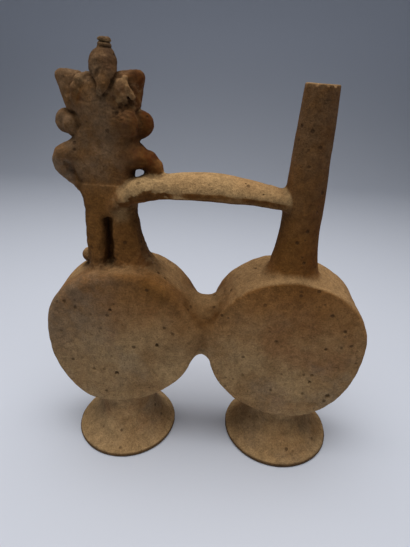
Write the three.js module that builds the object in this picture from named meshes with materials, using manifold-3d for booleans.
// Double vase in fired clay: two drum-shaped chambers on trumpet feet, joined by a short neck.
// A tall spout rises from the right drum, a standing figure from the left one, and a strap handle joins them.
// Millimetres, +Z up. The origin is the middle of the footprint, on the table. The figure faces +Y.
import * as THREE from "three";
import { mergeVertices } from "three/addons/utils/BufferGeometryUtils.js";
import Module from "manifold-3d";

const wasm = await Module();
wasm.setup();

// Walls and drums. outOfRound lists [order, cosine share, sine share] of the radius, as a hand-built wall has them.
const WALL = 5;
const DRUM_DEPTH = 38;
const DRUM_RIM_ROUND = 2.6;
const DRUM_SIDES = 48;
const HOLLOW_SIDES = 32;
const LEFT_DRUM = {
  x: -49.8,
  z: 77.7,
  frontRadius: 44,
  rearRadius: 44.1,
  leanDeg: 0.8,
  turnDeg: -0.8,
  outOfRound: [
    [2, -0.013, 0.011],
    [3, 0.016, 0.018],
    [4, -0.005, -0.009],
  ],
};
const RIGHT_DRUM = {
  x: 47,
  z: 76,
  frontRadius: 44.5,
  rearRadius: 46.2,
  leanDeg: 2.3,
  turnDeg: 0.5,
  outOfRound: [
    [2, -0.009, -0.005],
    [3, -0.009, 0.015],
    [4, -0.005, 0.01],
  ],
};

// Trumpet feet, open underneath.
const LEFT_FOOT = { x: -52.1, y: -2.3, radius: 32.1 };
const RIGHT_FOOT = { x: 49.8, y: 0.7, radius: 33.8 };
const FOOT_LIP = 3;
const FOOT_SEAT_WIDTH = 5;
const FOOT_NECK_RADIUS = 15.5;
const FOOT_NECK_Z = 27;
const FOOT_TOP_Z = 39;
const FOOT_HOLLOW_Z = 20;
const FOOT_HOLLOW_TOP_RADIUS = 8;
const FOOT_SIDES = 36;

// Neck between the drums.
const NECK_X = -1.6;
const NECK_Z = 81;
const NECK_RADIUS = 18.2;
const NECK_DEPTH_SHARE = 0.92;
const NECK_FILLET = 7;
const NECK_REACH = 15;
const NECK_BORE_RADIUS = 8;

// Spout.
const SPOUT_FOOT_X = 47.1;
const SPOUT_LIP_X = 48.8;
const SPOUT_LIP_Z = 216.2;
const SPOUT_LIP_RADIUS = 7.9;
const SPOUT_WAIST_Z = 146;
const SPOUT_WAIST_RADIUS = 10.5;
const SPOUT_FLARE_RADIUS = 15;
const SPOUT_FLARE_Z = 122;
const SPOUT_ROOT_Z = 114;
const SPOUT_WALL = 2.6;
const SPOUT_SIDES = 24;

// Strap handle, from the figure's hip to the spout.
const HANDLE_HALF_WIDTH = 11.2;
const HANDLE_HALF_THICKNESS = 5.1;
const HANDLE_CROWN_Z = 166.9;
const HANDLE_HIP = { x: -47, y: -4.5, z: 160.5 };
const HANDLE_SPOUT_Z = 161;
const HANDLE_FLARE = 1.2;

// Figure, standing on the left drum with its back to -Y. Its x is measured from the middle between its legs.
const FIGURE_X = -54.4;
const LEG_OFFSET = 7.9;
const LEG_SECTIONS = [
  { z: 112, halfWidth: 10, halfDepth: 10.5 },
  { z: 120, halfWidth: 9.6, halfDepth: 10 },
  { z: 126, halfWidth: 7.6, halfDepth: 8.6 },
  { z: 134, halfWidth: 6.3, halfDepth: 7.8 },
  { z: 152, halfWidth: 5.7, halfDepth: 7.6 },
];
const FIGURE_FOOT = { out: 14, y: 8, z: 122, halfWidth: 8, halfLength: 8, halfHeight: 5.6 };
const APRON_THICKNESS = 4;
const APRON_Y = 3.5;
const CROTCH_Z = 149.5;
const TORSO_SECTIONS = [
  { z: 148.5, halfWidth: 12.4, halfDepth: 7.2 },
  { z: 151.5, halfWidth: 13.7, halfDepth: 8.2 },
  { z: 167.6, halfWidth: 13.8, halfDepth: 8.4 },
  { z: 168, halfWidth: 13, halfDepth: 7.6 },
  { z: 173, halfWidth: 13.4, halfDepth: 7.8 },
  { z: 177, halfWidth: 17, halfDepth: 7.8 },
  { z: 181, halfWidth: 20.4, halfDepth: 7.6 },
  { z: 184.5, halfWidth: 20.8, halfDepth: 7 },
  { z: 188, halfWidth: 16.8, halfDepth: 6.6 },
  { z: 192.5, halfWidth: 14, halfDepth: 6.4 },
];
const UPPER_ARM_RADIUS = 4.4;
const FOREARM_RADIUS = 3.1;
const SHOULDER = { out: 17, z: 183 };
const LEFT_ELBOW = { out: 24.6, y: -2, z: 176.5 };
const RIGHT_ELBOW = { out: 24.6, y: -2, z: 174.5 };
const HAND = { out: 12.6, y: 2, z: 162.5 };

// Head and headdress, a little to the left of the legs.
const HEAD_X = -1.2;
const HEAD_SECTIONS = [
  { z: 189.5, halfWidth: 14.2, halfDepth: 6.6, y: 0 },
  { z: 193.5, halfWidth: 14.6, halfDepth: 8.8, y: 1 },
  { z: 201, halfWidth: 15.4, halfDepth: 10, y: 1 },
  { z: 208, halfWidth: 16, halfDepth: 10, y: 1 },
  { z: 213.5, halfWidth: 15.6, halfDepth: 8.6, y: 1 },
  { z: 216.5, halfWidth: 11, halfDepth: 5, y: 1 },
];
const LOBE_FOOT = { out: 14, z: 200 };
const LOBE_TIP = { out: 18.6, z: 219.4 };
const LOBE_RADIUS = 4.6;
const EAR_SPOOL = { out: 18.8, y: 4, z: 196.6, radius: 6.2, thickness: 7 };

// Crest on the crown, with a tail down the back of the head and a ringed stub on top.
const CREST_SECTIONS = [
  { z: 207.8, halfWidth: 1.4, halfDepth: 1, x: 0.8, y: -9.6 },
  { z: 209.5, halfWidth: 2.7, halfDepth: 2.4, x: 0.8, y: -9.6 },
  { z: 213, halfWidth: 3.7, halfDepth: 3.4, x: 0.9, y: -8.8 },
  { z: 217, halfWidth: 5.2, halfDepth: 5, x: 1.1, y: -6.6 },
  { z: 220, halfWidth: 6.3, halfDepth: 6.2, x: 1.4, y: -4.4 },
  { z: 223, halfWidth: 6.5, halfDepth: 6.6, x: 1.6, y: -3.2 },
  { z: 226.5, halfWidth: 5.1, halfDepth: 5.2, x: 1.9, y: -2.4 },
  { z: 228.8, halfWidth: 2.8, halfDepth: 2.8, x: 2.4, y: -2 },
];
const FINIAL = { x: 2.7, y: -2, z: 226.8, top: 232.8, radius: 2.9, rings: 3 };

// Face, kept simple: closed eyes, a straight nose and a level mouth.
const FACE_Y = 11;
const EYE = { out: 6, z: 205, halfWidth: 3.2, halfHeight: 1.9, relief: 1.7 };
const NOSE = { tipZ: 199.4, bridgeZ: 207.5, halfWidth: 2.7, relief: 3 };
const MOUTH = { z: 196, halfWidth: 4.6, halfHeight: 1.8, relief: 1.8 };
const BROW = { innerOut: 1, z: 208.2, outerOut: 10.5, outerZ: 207, radius: 1.1 };
const SLIT_HEIGHT = 0.7;

const clay = new THREE.MeshStandardMaterial({ color: 0xa07a4e, roughness: 0.9, metalness: 0 });

const degrees = THREE.MathUtils.degToRad;
const lerp = THREE.MathUtils.lerp;
const point2 = (radius, height) => new THREE.Vector2(radius, height);
const point3 = (x, y, z) => new THREE.Vector3(x, y, z);

// A closed geometry as a solid that can be joined and cut.
function solidOf(geometry) {
  const bare = new THREE.BufferGeometry();
  bare.setAttribute("position", geometry.getAttribute("position"));
  bare.setIndex(geometry.index);
  const merged = mergeVertices(bare, 1e-3);
  const corners = merged.index.array;
  const kept = [];
  for (let i = 0; i < corners.length; i += 3) {
    const [a, b, c] = corners.subarray(i, i + 3);
    if (a !== b && b !== c && c !== a) kept.push(a, b, c);
  }
  return new wasm.Manifold(
    new wasm.Mesh({
      numProp: 3,
      vertProperties: merged.getAttribute("position").array,
      triVerts: new Uint32Array(kept),
    }),
  );
}

function geometryOf(solid) {
  const mesh = solid.getMesh();
  const geometry = new THREE.BufferGeometry();
  geometry.setAttribute("position", new THREE.BufferAttribute(mesh.vertProperties, 3));
  geometry.setIndex(new THREE.BufferAttribute(mesh.triVerts, 1));
  geometry.computeVertexNormals();
  return geometry;
}

const joined = (solids) => solids.reduce((whole, next) => whole.add(next));

// A turned form about the Z axis.
function turned(profile, sides) {
  return new THREE.LatheGeometry(profile, sides).rotateX(Math.PI / 2);
}

// Profile points of a quarter round that starts at an angle from the outward direction.
function quarterRound(centreRadius, centreHeight, round, fromDeg) {
  const steps = 2;
  return Array.from({ length: steps + 1 }, (_, i) => {
    const angle = degrees(fromDeg + (90 * i) / steps);
    return point2(centreRadius + round * Math.cos(angle), centreHeight + round * Math.sin(angle));
  });
}

// Moves each vertex sideways in proportion to its height above a base, so that a turned form leans.
function leaned(geometry, dx, dy, fromZ, toZ) {
  const position = geometry.getAttribute("position");
  for (let i = 0; i < position.count; i++) {
    const share = (position.getZ(i) - fromZ) / (toZ - fromZ);
    position.setX(i, position.getX(i) + dx * share);
    position.setY(i, position.getY(i) + dy * share);
  }
  return geometry;
}

// A closed skin over a stack of rings of equal length, with a fan at each end.
function skinned(rings) {
  const sides = rings[0].length;
  const middle = (ring) => ring.reduce((sum, p) => sum.add(p), point3(0, 0, 0)).divideScalar(sides);
  const points = [...rings.flat(), middle(rings[0]), middle(rings.at(-1))];
  const first = points.length - 2;
  const last = points.length - 1;
  const top = (rings.length - 1) * sides;
  const index = [];
  for (let k = 0; k < sides; k++) {
    const next = (k + 1) % sides;
    for (let low = 0; low < top; low += sides) {
      const high = low + sides;
      index.push(low + k, low + next, high + next, low + k, high + next, high + k);
    }
    index.push(first, next, k, last, top + k, top + next);
  }
  const geometry = new THREE.BufferGeometry().setFromPoints(points);
  geometry.setIndex(index);
  return geometry;
}

// One ring of a rounded outline: squareness 2 is an ellipse, and more is boxier.
function outline(sides, halfWide, halfThick, squareness, place) {
  const bulge = (value) => Math.sign(value) * Math.abs(value) ** (2 / squareness);
  return Array.from({ length: sides }, (_, k) => {
    const angle = (2 * Math.PI * k) / sides;
    return place(halfWide * bulge(Math.cos(angle)), halfThick * bulge(Math.sin(angle)));
  });
}

// A form lofted upwards through level sections { z, halfWidth, halfDepth, x, y }.
function lofted(sections, sides, squareness) {
  return skinned(
    sections.map(({ z, halfWidth, halfDepth, x = 0, y = 0 }) =>
      outline(sides, halfWidth, halfDepth, squareness, (u, v) => point3(x + u, y + v, z)),
    ),
  );
}

// A rod along a curve. sectionAt gives its half width along the level side and its half thickness at each share.
function rod(points, steps, sides, squareness, level, sectionAt) {
  const curve = new THREE.CatmullRomCurve3(points);
  const rings = Array.from({ length: steps + 1 }, (_, i) => {
    const share = i / steps;
    const centre = curve.getPointAt(share);
    const along = curve.getTangentAt(share);
    const side = level.clone().addScaledVector(along, -level.dot(along)).normalize();
    const across = along.clone().cross(side);
    const [halfWide, halfThick] = sectionAt(share);
    return outline(sides, halfWide, halfThick, squareness, (u, v) =>
      centre.clone().addScaledVector(side, u).addScaledVector(across, v),
    );
  });
  return skinned(rings);
}

// Share of the full section along a rod with rounded ends, each end taking the given share of its length.
function roundedEnds(share, endShare) {
  const fromEnd = Math.min(share, 1 - share) / endShare;
  return fromEnd >= 1 ? 1 : Math.max(0.12, Math.sqrt(1 - (1 - fromEnd) ** 2));
}

function ball(x, y, z, rx, ry, rz) {
  return new THREE.SphereGeometry(1, 10, 6).scale(rx, ry, rz).translate(x, y, z);
}

function slab(x, y, z, width, depth, height) {
  return new THREE.BoxGeometry(width, depth, height).translate(x, y, z);
}

// Swells a form about the Y axis by the drum's out-of-round shares, then leans, turns and places it.
function asDrum(geometry, drum) {
  const position = geometry.getAttribute("position");
  for (let i = 0; i < position.count; i++) {
    const angle = Math.atan2(position.getZ(i), position.getX(i));
    const swell = drum.outOfRound.reduce(
      (sum, [order, cosine, sine]) => sum + cosine * Math.cos(order * angle) + sine * Math.sin(order * angle),
      1,
    );
    position.setX(i, position.getX(i) * swell);
    position.setZ(i, position.getZ(i) * swell);
  }
  return geometry.rotateX(-degrees(drum.leanDeg)).rotateZ(-degrees(drum.turnDeg)).translate(drum.x, 0, drum.z);
}

// Drum: two flat faces with rounded rims and a straight wall between them.
function drumForm(drum) {
  const half = DRUM_DEPTH / 2;
  const round = DRUM_RIM_ROUND;
  const profile = [
    point2(0, -half),
    ...quarterRound(drum.frontRadius - round, -half + round, round, -90),
    ...quarterRound(drum.rearRadius - round, half - round, round, 0),
    point2(0, half),
  ];
  return solidOf(asDrum(new THREE.LatheGeometry(profile, DRUM_SIDES), drum));
}

function drumHollow(drum) {
  const half = DRUM_DEPTH / 2 - WALL;
  const round = DRUM_RIM_ROUND;
  const profile = [
    point2(0, -half),
    point2(drum.frontRadius - WALL - round, -half),
    point2(drum.frontRadius - WALL, -half + round),
    point2(drum.rearRadius - WALL, half - round),
    point2(drum.rearRadius - WALL - round, half),
    point2(0, half),
  ];
  return solidOf(asDrum(new THREE.LatheGeometry(profile, HOLLOW_SIDES), drum));
}

// Trumpet foot: a rounded lip on the table, a flare up to the neck, and the neck running into the drum.
function footForm(foot, drum) {
  const steps = 5;
  const flare = Array.from({ length: steps + 1 }, (_, i) => {
    const share = i / steps;
    return point2(
      lerp(foot.radius - 0.6, FOOT_NECK_RADIUS, Math.sin((share * Math.PI) / 2) ** 0.9),
      lerp(FOOT_LIP, FOOT_NECK_Z, share ** 1.25),
    );
  });
  const profile = [
    point2(0, 0),
    point2(foot.radius - 1, 0),
    point2(foot.radius, FOOT_LIP / 2),
    ...flare,
    point2(FOOT_NECK_RADIUS + 1.5, FOOT_TOP_Z - 6),
    point2(FOOT_NECK_RADIUS + 4, FOOT_TOP_Z),
    point2(0, FOOT_TOP_Z),
  ];
  return solidOf(underDrum(turned(profile, FOOT_SIDES), foot, drum));
}

function footHollow(foot, drum) {
  const rim = foot.radius - 1 - FOOT_SEAT_WIDTH;
  const below = -1;
  const profile = [
    point2(0, below),
    point2(rim, below),
    point2(rim, 0),
    point2(lerp(rim, FOOT_HOLLOW_TOP_RADIUS, 0.62), FOOT_HOLLOW_Z * 0.38),
    point2(FOOT_HOLLOW_TOP_RADIUS, FOOT_HOLLOW_Z),
    point2(0, FOOT_HOLLOW_Z),
  ];
  return solidOf(underDrum(turned(profile, HOLLOW_SIDES), foot, drum));
}

// A foot stands a little off its drum's middle and leans in to it.
function underDrum(geometry, foot, drum) {
  return leaned(geometry, drum.x - foot.x, -foot.y, 0, FOOT_TOP_Z).translate(foot.x, foot.y, 0);
}

// Neck between the drums: a waisted tube whose ends spread onto both walls.
function neckForm() {
  const steps = 8;
  const profile = Array.from({ length: steps + 1 }, (_, i) => {
    const share = lerp(-1, 1, i / steps);
    const spread = NECK_FILLET * (1 - Math.sqrt(1 - 0.98 * share ** 2));
    return point2(NECK_RADIUS + spread, NECK_REACH * share);
  });
  const closed = [point2(0, -NECK_REACH), ...profile, point2(0, NECK_REACH)];
  const form = alongX(new THREE.LatheGeometry(closed, 28)).scale(1, NECK_DEPTH_SHARE, 1);
  return solidOf(form.translate(NECK_X, 0, NECK_Z));
}

function neckBore() {
  const length = (RIGHT_DRUM.x - LEFT_DRUM.x) / 2;
  const bore = new THREE.CylinderGeometry(NECK_BORE_RADIUS, NECK_BORE_RADIUS, length, 16);
  return solidOf(alongX(bore).translate(NECK_X, 0, NECK_Z));
}

function alongX(geometry) {
  return geometry.rotateZ(-Math.PI / 2);
}

// Spout: flared onto the drum, then tapering to a flat lip.
function spoutForm() {
  const steps = 4;
  const flare = Array.from({ length: steps + 1 }, (_, i) => {
    const share = i / steps;
    return point2(
      lerp(SPOUT_FLARE_RADIUS, SPOUT_WAIST_RADIUS, Math.sin((share * Math.PI) / 2)),
      lerp(SPOUT_FLARE_Z, SPOUT_WAIST_Z, share),
    );
  });
  const profile = [
    point2(0, SPOUT_ROOT_Z),
    point2(SPOUT_FLARE_RADIUS, SPOUT_ROOT_Z),
    ...flare,
    point2(lerp(SPOUT_WAIST_RADIUS, SPOUT_LIP_RADIUS, 0.5), lerp(SPOUT_WAIST_Z, SPOUT_LIP_Z, 0.55)),
    point2(SPOUT_LIP_RADIUS, SPOUT_LIP_Z - 0.6),
    point2(SPOUT_LIP_RADIUS - 0.6, SPOUT_LIP_Z),
    point2(0, SPOUT_LIP_Z),
  ];
  return solidOf(onSpoutAxis(turned(profile, SPOUT_SIDES)));
}

function spoutBore() {
  const radius = SPOUT_LIP_RADIUS - SPOUT_WALL;
  const bottom = SPOUT_ROOT_Z - 4;
  const top = SPOUT_LIP_Z + 1;
  const profile = [point2(0, bottom), point2(radius + 2, bottom), point2(radius, top), point2(0, top)];
  return solidOf(onSpoutAxis(turned(profile, 16)));
}

function onSpoutAxis(geometry) {
  return leaned(geometry, SPOUT_LIP_X - SPOUT_FOOT_X, 0, SPOUT_ROOT_Z, SPOUT_LIP_Z).translate(SPOUT_FOOT_X, 0, 0);
}

// Strap handle: an arched flat strap, thicker where it is luted on at both ends.
function handleForm() {
  const middle = (HANDLE_HIP.x + SPOUT_FOOT_X) / 2;
  const quarter = (SPOUT_FOOT_X - HANDLE_HIP.x) / 4;
  const points = [
    point3(HANDLE_HIP.x, HANDLE_HIP.y, HANDLE_HIP.z),
    point3(middle - quarter, HANDLE_HIP.y / 3, lerp(HANDLE_HIP.z, HANDLE_CROWN_Z, 0.78)),
    point3(middle, 0, HANDLE_CROWN_Z),
    point3(middle + quarter, 0, lerp(HANDLE_SPOUT_Z, HANDLE_CROWN_Z, 0.7)),
    point3(SPOUT_FOOT_X - 2, 0, HANDLE_SPOUT_Z),
  ];
  const section = (share) => {
    const flare = HANDLE_FLARE * Math.abs(2 * share - 1) ** 4;
    const hipTaper = 1 - 0.35 * Math.max(0, 1 - share / 0.2);
    return [HANDLE_HALF_WIDTH * hipTaper, HANDLE_HALF_THICKNESS + flare];
  };
  return solidOf(rod(points, 15, 14, 2.4, point3(0, 1, 0), section));
}

// Figure: straight legs, feet turned out, an apron that closes the far side between the legs.
function leg(side) {
  return lofted(LEG_SECTIONS, 14, 2.2).translate(side * LEG_OFFSET, 0, 0);
}

function footOfFigure(side) {
  const { out, y, z, halfWidth, halfLength, halfHeight } = FIGURE_FOOT;
  return ball(side * out, y, z, halfWidth, halfLength, halfHeight);
}

function apron() {
  const bottom = LEG_SECTIONS[0].z;
  const height = CROTCH_Z + 3 - bottom;
  return slab(0, APRON_Y, bottom + height / 2, 2 * LEG_OFFSET, APRON_THICKNESS, height);
}

// Arm bent outwards, with the hand on the hip and a hole between arm and body.
function arm(side, elbow) {
  const points = [
    point3(side * SHOULDER.out, 0, SHOULDER.z),
    point3(side * (elbow.out - 1.3), elbow.y / 2, lerp(SHOULDER.z, elbow.z, 0.5)),
    point3(side * elbow.out, elbow.y, elbow.z),
    point3(side * lerp(elbow.out, HAND.out, 0.5), lerp(elbow.y, HAND.y, 0.5), lerp(elbow.z, HAND.z, 0.52)),
    point3(side * HAND.out, HAND.y, HAND.z),
  ];
  const section = (share) => {
    const radius = lerp(UPPER_ARM_RADIUS, FOREARM_RADIUS, Math.min(1, share / 0.6)) * roundedEnds(share, 0.12);
    return [radius, radius];
  };
  return rod(points, 10, 10, 2, point3(0, 1, 0), section);
}

// Side lobe of the headdress: a horn that widens upwards and ends in a blunt tip.
function lobe(side) {
  const foot = point3(side * LOBE_FOOT.out, 1, LOBE_FOOT.z);
  const tip = point3(side * LOBE_TIP.out, 0, LOBE_TIP.z);
  const section = (share) => {
    const radius = LOBE_RADIUS * Math.min(1, 0.3 + share) * roundedEnds(Math.max(share, 0.5), 0.3);
    return [radius, radius];
  };
  return rod([foot, foot.clone().lerp(tip, 0.5), tip], 7, 10, 2, point3(0, 1, 0), section);
}

// Ear spool: a domed disc with a dimple on its front.
function earSpool(side) {
  const half = EAR_SPOOL.thickness / 2;
  const profile = [
    [0, -1],
    [0.6, -0.85],
    [0.93, -0.4],
    [1, 0.2],
    [0.85, 0.85],
    [0.6, 1],
    [0.4, 0.5],
    [0, 0.4],
  ].map(([out, along]) => point2(out * EAR_SPOOL.radius, along * half));
  return new THREE.LatheGeometry(profile, 16).translate(side * EAR_SPOOL.out, EAR_SPOOL.y, EAR_SPOOL.z);
}

// Finial: a stub of stacked rings.
function finial() {
  const pitch = (FINIAL.top - FINIAL.z) / FINIAL.rings;
  const profile = [point2(0, FINIAL.z)];
  for (let i = 0; i < FINIAL.rings; i++) {
    const foot = FINIAL.z + i * pitch;
    profile.push(point2(FINIAL.radius * 0.78, foot));
    profile.push(point2(FINIAL.radius, foot + pitch * 0.3));
    profile.push(point2(FINIAL.radius, foot + pitch * 0.65));
  }
  profile.push(point2(FINIAL.radius * 0.7, FINIAL.top), point2(0, FINIAL.top));
  return turned(profile, 12).translate(FINIAL.x, FINIAL.y, 0);
}

// A swelling on the face with a level slit across it: a closed eye or a mouth.
function slitForm({ out = 0, z, halfWidth, halfHeight, relief }) {
  const y = FACE_Y - relief / 2;
  const slit = slab(out, FACE_Y + relief / 2, z, halfWidth * 1.6, relief, SLIT_HEIGHT);
  return solidOf(ball(out, y, z, halfWidth, relief, halfHeight)).subtract(solidOf(slit));
}

function nose() {
  const sections = [
    { z: NOSE.tipZ, halfWidth: NOSE.halfWidth, halfDepth: NOSE.relief * 0.85, y: FACE_Y },
    { z: NOSE.tipZ + 1.4, halfWidth: NOSE.halfWidth, halfDepth: NOSE.relief, y: FACE_Y },
    { z: NOSE.bridgeZ, halfWidth: NOSE.halfWidth / 2, halfDepth: NOSE.relief / 2, y: FACE_Y - 0.4 },
  ];
  return solidOf(lofted(sections, 10, 2));
}

function brow(side) {
  const points = [
    point3(side * BROW.innerOut, FACE_Y - 0.6, BROW.z),
    point3((side * (BROW.innerOut + BROW.outerOut)) / 2, FACE_Y - 1, BROW.z + 1),
    point3(side * BROW.outerOut, FACE_Y - 3, BROW.outerZ),
  ];
  const section = (share) => {
    const radius = BROW.radius * roundedEnds(share, 0.3);
    return [radius, radius];
  };
  return solidOf(rod(points, 5, 8, 2, point3(0, 1, 0), section));
}

function headForm() {
  const sides = [-1, 1].flatMap((side) => [
    solidOf(lobe(side)),
    solidOf(earSpool(side)),
    slitForm({ ...EYE, out: side * EYE.out }),
    brow(side),
  ]);
  const skull = solidOf(lofted(HEAD_SECTIONS, 22, 2.4));
  return joined([skull, nose(), slitForm(MOUTH), ...sides]).translate(HEAD_X, 0, 0);
}

function figureForm() {
  const body = [
    apron(),
    lofted(TORSO_SECTIONS, 22, 2.4),
    lofted(CREST_SECTIONS, 14, 2),
    finial(),
    arm(-1, LEFT_ELBOW),
    arm(1, RIGHT_ELBOW),
    ...[-1, 1].flatMap((side) => [leg(side), footOfFigure(side)]),
  ];
  return joined([...body.map(solidOf), headForm()]).translate(FIGURE_X, 0, 0);
}

// The vessel is fired as one piece: every form is joined first, and the hollows are taken out of the whole.
function vesselSolid() {
  const forms = joined([
    drumForm(LEFT_DRUM),
    drumForm(RIGHT_DRUM),
    footForm(LEFT_FOOT, LEFT_DRUM),
    footForm(RIGHT_FOOT, RIGHT_DRUM),
    neckForm(),
    spoutForm(),
    handleForm(),
    figureForm(),
  ]);
  const hollows = joined([
    drumHollow(LEFT_DRUM),
    drumHollow(RIGHT_DRUM),
    footHollow(LEFT_FOOT, LEFT_DRUM),
    footHollow(RIGHT_FOOT, RIGHT_DRUM),
    neckBore(),
    spoutBore(),
  ]);
  return forms.subtract(hollows);
}

const vessel = new THREE.Mesh(geometryOf(vesselSolid()), clay);
vessel.name = "double_vase";

const part = new THREE.Group();
part.add(vessel);

export default part;
